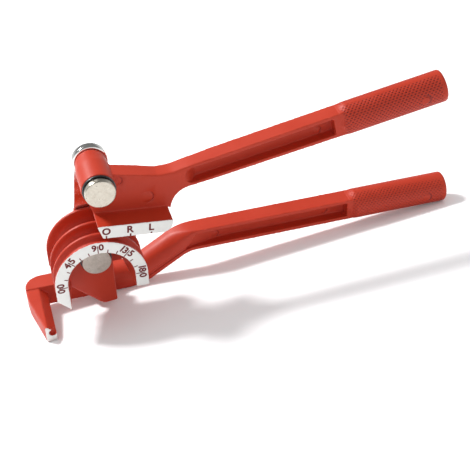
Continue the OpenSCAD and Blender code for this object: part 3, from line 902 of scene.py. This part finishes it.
def knurled_grip(name, axes, centre, way, start, end, halves, bands, pit_shade_share):
    """A grip that swells out of its handle, with cast pits, an ejector boss and a rounded nose; the pits get
    painted shade and the boss a painted shadow at its foot.
    """
    around = KNURLS_ROUND * POINTS_PER_KNURL
    pitch = 2.0 * math.pi * GRIP_RADIUS / KNURLS_ROUND
    nose_start = end - GRIP_NOSE
    first_ring = start + SWELL_FROM
    count = int((nose_start - first_ring) * POINTS_PER_KNURL / pitch)
    rings = []
    painted_shade = []
    for line in range(count + 1):
        along = first_ring + (nose_start - first_ring) * line / count
        fade = soft_step(along - start, *KNURL_FADE) * soft_step(nose_start - along, *KNURL_STOP)
        lift = SWELL_LIFT + (GRIP_LIFT - SWELL_LIFT) * soft_step(along - start, SWELL_FROM, GRIP_SWELL)
        share = (along - start) / (end - start)
        band = [near + (far - near) * share for near, far in bands]
        radii = []
        for index in range(around):
            angle = 2.0 * math.pi * index / around
            side = soft_step(abs(math.sin(angle)), *band)
            pit = fade * side * pit_depth(KNURLS_ROUND * index / around, along)
            sunk = KNURL_DEPTH * pit
            inside, stands_out, foot = boss_at(along, angle, end)
            radius = swell_radius(along - start, angle, *halves) + lift
            radii.append(radius - sunk * (1.0 - inside) + stands_out)
            # painted shade in the pits, and a painted shadow at the boss's foot on its side away from the
            # lamp
            painted_shade.append(max(pit_shade_share * pit * (1.0 - inside), foot))
        rings.append((along, radii))
    for line in range(1, NOSE_STEPS + 1):
        bend = 0.5 * math.pi * line / NOSE_STEPS
        radius = GRIP_RADIUS + GRIP_LIFT - GRIP_NOSE * (1.0 - math.cos(bend))
        rings.append((nose_start + GRIP_NOSE * math.sin(bend), [radius] * around))
    mesh = mesh_from(name, lathe_rings(rings, axes, centre, way))
    set_painted_shade(mesh, painted_shade + [0.0] * (len(mesh.vertices) - len(painted_shade)))
    return mesh


low_line = Vector((0.0, LOW_GRIP_BACK, LOW_GRIP_UP))
low_way = Vector((1.0, 0.0, 0.0))
low_grip_mesh = knurled_grip(
    "lower_grip", die_axes, low_line, low_way, LOW_GRIP_START, LOW_GRIP_END, LOW_HALVES, LOW_BANDS, LOW_PIT_SHADE
)
lower_grip = show("lower_grip", low_grip_mesh, red_enamel, "fixed_side")
up_grip_mesh = knurled_grip(
    "upper_grip", barrel_axes, grip_root, grip_way, UP_GRIP_START, UP_GRIP_END, UP_HALVES, UP_BANDS, UP_PIT_SHADE
)
upper_grip = show("upper_grip", up_grip_mesh, red_enamel, "forming_side")
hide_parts("fixed_handle")
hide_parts("forming_handle")
print("grips:", len(lower_grip.data.polygons), "and", len(upper_grip.data.polygons), "faces")

# %% [markdown]
# ## The white faces
#
# White enamel is rolled onto the three front faces that are read in use: the half wheel, the shoe's
# lower edge and the end of the hook. Paint lies on what carries it, so each film is cut from the
# casting's own fine skin just behind its front face, and stands out from it by a tenth of a
# millimetre.

# %% White faces
FILM_BACK = 0.52
FILM_OUT = 0.00012
FILM_IN = 0.00006
FILM_KEEP = 0.12


def paint_film(name, skin, body, node):
    """A thin film over the part of a casting's skin that lies in front of a depth."""
    build = bmesh.new()
    build.from_mesh(skin)
    cut_off(build, die_axes @ Vector((0.0, FILM_BACK, 0.0)), pins_back)
    lone = plain_mesh("film", build)
    thick = {"thickness": FILM_OUT + FILM_IN, "offset": (FILM_OUT - FILM_IN) / (FILM_OUT + FILM_IN)}
    mesh = with_modifiers(lone, [("DECIMATE", {"ratio": FILM_KEEP}), ("SOLIDIFY", thick)])
    mesh.shade_smooth()
    made = show(name, mesh, white_enamel, body)
    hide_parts(node)
    print(name, len(mesh.polygons), "faces")


paint_film("scale_face", die_front_skin, "fixed_side", "degree_scale")
paint_film("hook_face", low_front_skin, "fixed_side", "hook_end_coat")
paint_film("index_face", up_front_skin, "forming_side", "index_strip")

# %% [markdown]
# ## The printed marks
#
# The scale runs from 0 at the left, over the top, to 180 at the right. Short lines stand every 15
# degrees, and a long one, with a number split over it, every 45. The shoe has three index letters.
# Blender's own font is close to the plain letters of such tools, so its characters are turned into thin
# meshes and laid on the paint.

# %% Printed marks
MARK_FRONT = 0.06
MARK_BACK = 0.20
TICK_WIDTH = 0.55
SCALE_IN = 19.65
SHORT_TICK = 2.0
LONG_TICK = 5.0
NUMBER_MIDDLE = 23.5
NUMBER_HEIGHT = 4.4
LETTER_HEIGHT = 4.6
BOLD = 0.036
CURVE_STEPS = 6
GLYPH_WELD = 1e-5


def glyph_mesh(character):
    """A character as a flat mesh, one unit high and centred."""
    words = bpy.data.curves.new("glyph", "FONT")
    words.body = character
    words.resolution_u = CURVE_STEPS
    words.offset = BOLD
    maker = add_object("maker", words)
    mesh = baked_mesh(maker)
    spots = np.array([v.co[:2] for v in mesh.vertices])
    low = spots.min(0)
    high = spots.max(0)
    tall = high[1] - low[1]
    for vertex in mesh.vertices:
        vertex.co.x = (vertex.co.x - (low[0] + high[0]) / 2) / tall
        vertex.co.y = (vertex.co.y - (low[1] + high[1]) / 2) / tall
        vertex.co.z = 0.0
    return mesh


def lay_flat(build, mesh, axes, spot, right, up, height, wide=1.0):
    """Lays a flat mesh on a front face at a spot and gives it a thickness."""
    grown = bmesh.new()
    grown.from_mesh(mesh)
    bmesh.ops.remove_doubles(grown, verts=grown.verts, dist=GLYPH_WELD)
    made = bmesh.ops.extrude_face_region(grown, geom=grown.faces[:])
    lifted = {item for item in made["geom"] if isinstance(item, bmesh.types.BMVert)}
    for vertex in grown.verts:
        place = Vector(spot) + Vector(right) * (vertex.co.x * height * wide)
        place += Vector(up) * (vertex.co.y * height)
        place.y = MARK_FRONT if vertex in lifted else MARK_BACK
        vertex.co = axes @ place
    step = plain_mesh("laid", grown)
    build.from_mesh(step)
    bpy.data.meshes.remove(step)


line_mesh = bpy.data.meshes.new("line")
line_corners = [(-0.5, -0.5, 0), (0.5, -0.5, 0), (0.5, 0.5, 0), (-0.5, 0.5, 0)]
line_mesh.from_pydata(line_corners, [], [(0, 1, 2, 3)])
glyphs = {character: glyph_mesh(character) for character in "0134589ORL."}


def on_scale(reading, radius, along=0.0):
    """The place, right and up of a mark on the scale, at a reading in degrees."""
    turn = math.radians(reading)
    up = Vector((-math.cos(turn), 0.0, math.sin(turn)))
    right = Vector((math.sin(turn), 0.0, math.cos(turn)))
    return up * radius + right * along, right, up


NUMBERS = {0: [("0", -1.9), ("0", 1.9)], 45: [("4", -2.05), ("5", 2.0)], 90: [("9", -2.0), ("0", 2.0)]}
NUMBERS[135] = [("1", -4.2), ("3", -1.95), ("5", 2.0)]
NUMBERS[180] = [("1", -4.2), ("8", -1.95), ("0", 2.0)]
scale_build = bmesh.new()
for reading in range(0, 181, 15):
    length = LONG_TICK if reading in NUMBERS else SHORT_TICK
    spot, right, up = on_scale(reading, SCALE_IN + length / 2)
    lay_flat(scale_build, line_mesh, die_axes, spot, right, up, length, TICK_WIDTH / length)
for reading, numbers in NUMBERS.items():
    for character, along in numbers:
        spot, right, up = on_scale(reading, NUMBER_MIDDLE, along)
        lay_flat(scale_build, glyphs[character], die_axes, spot, right, up, NUMBER_HEIGHT)
scale_mesh = mesh_from("scale_marks", scale_build)
scale_mesh.shade_flat()
show("scale_marks", scale_mesh, mark_ink, "fixed_side")

LETTERS_UP = -22.0
FEET_UP = -25.75
LETTERS = {"O": 2.4, "R": 15.9, "L": 27.7}
FEET = {"O": (line_mesh, 1.6, 0.5), "R": (line_mesh, 1.7, 0.5), "L": (glyphs["."], 1.1, 1.0)}
index_build = bmesh.new()
for character, right in LETTERS.items():
    middle = Vector((right, 0.0, LETTERS_UP))
    lay_flat(index_build, glyphs[character], barrel_axes, middle, (1, 0, 0), (0, 0, 1), LETTER_HEIGHT)
    foot, height, wide = FEET[character]
    below = Vector((right, 0.0, FEET_UP))
    lay_flat(index_build, foot, barrel_axes, below, (1, 0, 0), (0, 0, 1), height, wide)
index_mesh = mesh_from("index_marks", index_build)
index_mesh.shade_flat()
show("index_marks", index_mesh, mark_ink, "forming_side")
print("marks:", len(scale_mesh.polygons), "and", len(index_mesh.polygons), "faces")

# %% [markdown]
# ## The two pins
#
# Each pin has a wide head in front, a shank through the casting, and a tail that is riveted over behind
# the link. Turned pieces are easiest as a profile spun round the pin's axis. Small arcs round the
# head's edge and dome the rivet, where a plain cylinder would look like a coin.

# %% Pins
ROUND = 120
HEAD_RADIUS = 8.6
SHANK_RADIUS = 4.5
TAIL_RADIUS = 3.5
RIVET_RADIUS = 4.7
LINK_FRONT = 37.08
LINK_BACK = 42.08
RIVET_END = 43.28
DIE_HEAD = (17.45, 20.05)
DIE_HEAD_EDGE = 0.55
HANDLE_HEAD = (3.95, 7.35)
HANDLE_HEAD_EDGE = 0.75
CROWN = 0.05
BACK_EDGE = 0.25
RIVET_LIP = 0.12
RIVET_STEPS = 8
RIVET_MIDDLE = 0.4
HEAD_MIDDLE = 0.6
LAND = 0.15


def arc(centre, radius, start, end, steps=6):
    """Points of a profile on an arc, as (radius from the axis, depth)."""
    points = []
    for step in range(steps + 1):
        angle = math.radians(start + (end - start) * step / steps)
        points.append((centre[0] + radius * math.cos(angle), centre[1] + radius * math.sin(angle)))
    return points


def spun(name, axes, profile):
    """A closed mesh from a profile of (radius, depth) points, spun round the axis of a pin."""
    build = bmesh.new()
    rows = []
    for radius, depth in profile:
        row = []
        for index in range(ROUND):
            angle = 2.0 * math.pi * index / ROUND
            spot = Vector((radius * math.cos(angle), depth, radius * math.sin(angle)))
            row.append(build.verts.new(axes @ spot))
        rows.append(row)
    join_rows(build, rows)
    for row, (_, depth) in ((rows[0], profile[0]), (rows[-1], profile[-1])):
        middle = build.verts.new(axes @ Vector((0.0, depth, 0.0)))
        for index in range(ROUND):
            build.faces.new((row[index], row[(index + 1) % ROUND], middle))
    return mesh_from(name, build)


def pin_profile(head_front, head_back, edge):
    """The profile of a headed pin, from the middle of its head to the middle of its rivet."""
    rim = HEAD_RADIUS - edge
    points = [(HEAD_MIDDLE, head_front), (rim / 2, head_front + CROWN / 4), (rim - LAND, head_front + CROWN)]
    points += arc((rim, head_front + CROWN + edge), edge, -90, 0)
    points += arc((HEAD_RADIUS - BACK_EDGE, head_back - BACK_EDGE), BACK_EDGE, 0, 90, 3)
    points += [(SHANK_RADIUS, head_back), (SHANK_RADIUS, LINK_FRONT), (TAIL_RADIUS, LINK_FRONT)]
    points += [(TAIL_RADIUS, LINK_BACK), (RIVET_RADIUS - LAND, LINK_BACK)]
    dome = RIVET_END - LINK_BACK
    for step in range(RIVET_STEPS):
        angle = 0.5 * math.pi * step / RIVET_STEPS
        depth = LINK_BACK + RIVET_LIP + (dome - RIVET_LIP) * math.sin(angle)
        points.append((RIVET_RADIUS * math.cos(angle), depth))
    return points + [(RIVET_MIDDLE, RIVET_END)]


die_pin_mesh = spun("die_pin", die_axes, pin_profile(*DIE_HEAD, DIE_HEAD_EDGE))
lower_pin = show("lower_pin", die_pin_mesh, metals["plain_pin"], "link")
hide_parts("die_pin")
handle_pin_mesh = spun("handle_pin", barrel_axes, pin_profile(*HANDLE_HEAD, HANDLE_HEAD_EDGE))
upper_pin = show("upper_pin", handle_pin_mesh, metals["plated_pin"], "link")
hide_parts("handle_pin")
print("pins:", len(lower_pin.data.polygons), "and", len(upper_pin.data.polygons), "faces")

# %% [markdown]
# ## The link and the small pieces
#
# The link, washers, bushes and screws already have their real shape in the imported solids. They stay,
# and get their finish and a small round on every edge: a Weld and a Decimate modifier join the solid's
# faces, a Bevel rounds the edges between them, and weighted normals keep flat faces flat. The shapes of
# the solids themselves aren't touched.

# %% Link and small pieces
KEPT = {
    "link_bar": ("plated_link", 0.0013),
    "die_pin_washer": ("dark_washer", 0.00012),
    "die_pin_spring": ("dark_washer", 0.0001),
    "die_thrust_washer": ("thrust_steel", 0.0001),
    "handle_pin_washer": ("dark_washer", 0.00012),
    "handle_pin_spring": ("thrust_steel", 0.0001),
    "handle_thrust_washer": ("thrust_steel", 0.0001),
    "hub_bush": ("bush_bronze", 0.0001),
    "barrel_bush_front": ("bush_bronze", 0.0001),
    "barrel_bush_rear": ("bush_bronze", 0.0001),
    "die_screws": ("black_screw", 0.0002),
}
SAME_FACE = math.radians(0.5)
ROUNDED_FROM = math.radians(40)
ROUND_STEPS = 3
for node, (finish, edge) in KEPT.items():
    piece = frame["nodes"][node]
    piece.data.materials.clear()
    piece.data.materials.append(metals[finish])
    weld = piece.modifiers.new("weld", "WELD")
    weld.merge_threshold = WELD
    joined = piece.modifiers.new("joined", "DECIMATE")
    joined.decimate_type = "DISSOLVE"
    joined.angle_limit = SAME_FACE
    rounded = piece.modifiers.new("rounded", "BEVEL")
    rounded.width = edge
    rounded.segments = ROUND_STEPS
    rounded.limit_method = "ANGLE"
    rounded.angle_limit = ROUNDED_FROM
    level = piece.modifiers.new("level", "WEIGHTED_NORMAL")
    level.weight = 100
    piece.data.shade_smooth()
print("kept solids:", ", ".join(KEPT))

# %% [markdown]
# ## Floor and light
#
# The tool lies on a white studio sweep. A small lamp stands to the left, a little behind and high up,
# so the shadows fall forwards and to the right with crisp edges. White walls all round fill them. Faces
# that look to the front get only this fill, and there a colour renders about as it is written; tops are
# brighter. The floor glows a little where it is seen, and more far away, so that it stays white. Bright
# metal mirrors a room that is dimmer overhead.

# %% Floor and light
FLOOR_SIZE = 6.0
FLOOR_COLOUR = (0.86, 0.86, 0.87, 1.0)
FLOOR_GLOW = 0.08
FAR_GLOW = 0.45
GLOW_REACH = {"From Min": 0.35, "From Max": 1.0, "To Min": FLOOR_GLOW, "To Max": FAR_GLOW}
floor_build = bmesh.new()
bmesh.ops.create_grid(floor_build, x_segments=1, y_segments=1, size=FLOOR_SIZE / 2)
floor = add_object("studio_floor", mesh_from("studio_floor", floor_build))
floor_finish, floor_tree, floor_shader = start_finish("studio paper", Roughness=0.9, Specular_IOR_Level=0.1)
floor_shader.inputs["Base Color"].default_value = FLOOR_COLOUR
seen_by = add_node(floor_tree, "LightPath")
either = add_node(floor_tree, "Math", operation="MAXIMUM")
glow = add_node(floor_tree, "Math", operation="MULTIPLY")
floor_place = add_node(floor_tree, "TexCoord")
far_off = add_node(floor_tree, "VectorMath", operation="LENGTH")
farther = add_node(floor_tree, "MapRange", GLOW_REACH)
wire(floor_tree, floor_place, "Object", far_off, 0)
wire(floor_tree, far_off, "Value", farther, "Value")
wire(floor_tree, farther, "Result", glow, 1)
wire(floor_tree, seen_by, "Is Camera Ray", either, 0)
wire(floor_tree, seen_by, "Is Glossy Ray", either, 1)
wire(floor_tree, either, 0, glow, 0)
floor_shader.inputs["Emission Color"].default_value = (1.0, 1.0, 1.0, 1.0)
wire(floor_tree, glow, 0, floor_shader, "Emission Strength")
floor.data.materials.append(floor_finish)

ROOM_FILL = 0.70
DIM_OVERHEAD = {"From Min": 0.15, "From Max": 0.55, "To Min": 0.8, "To Max": 0.2}
world = bpy.data.worlds.new("studio")
bpy.context.scene.world = world
world.use_nodes = True
sky_tree = world.node_tree
sky = sky_tree.nodes["Background"]
sky.inputs["Color"].default_value = (1.0, 1.0, 1.0, 1.0)
sky_seen = add_node(sky_tree, "LightPath")
sky_way = add_node(sky_tree, "TexCoord")
sky_parts = add_node(sky_tree, "SeparateXYZ")
overhead = add_node(sky_tree, "MapRange", DIM_OVERHEAD)
mirrored = add_node(sky_tree, "Mix", {2: ROOM_FILL})
sky_level = add_node(sky_tree, "Mix", {3: 1.0})
wire(sky_tree, sky_way, "Generated", sky_parts, 0)
wire(sky_tree, sky_parts, "Z", overhead, "Value")
wire(sky_tree, sky_seen, "Is Glossy Ray", mirrored, "Factor")
wire(sky_tree, overhead, "Result", mirrored, 3)
wire(sky_tree, sky_seen, "Is Camera Ray", sky_level, "Factor")
wire(sky_tree, mirrored, 0, sky_level, 2)
wire(sky_tree, sky_level, 0, sky, "Strength")

TOOL_MIDDLE = Vector((0.0, 0.0, 0.05))
KEY_WAY = Vector((-0.481, 0.337, 0.809))
KEY_DISTANCE = 1.6
KEY_SIZE = 0.32
KEY_POWER = 30.0
key_lamp = bpy.data.lights.new("key_light", "AREA")
key_lamp.shape = "SQUARE"
key_lamp.size = KEY_SIZE
key_lamp.energy = KEY_POWER
key_light = add_object("key_light", key_lamp)
key_light.location = TOOL_MIDDLE + KEY_WAY * KEY_DISTANCE
key_light.rotation_mode = "QUATERNION"
key_light.rotation_quaternion = (TOOL_MIDDLE - key_light.location).to_track_quat("-Z", "Y")
bpy.context.scene.view_settings.view_transform = "Standard"
print("floor and light ready")
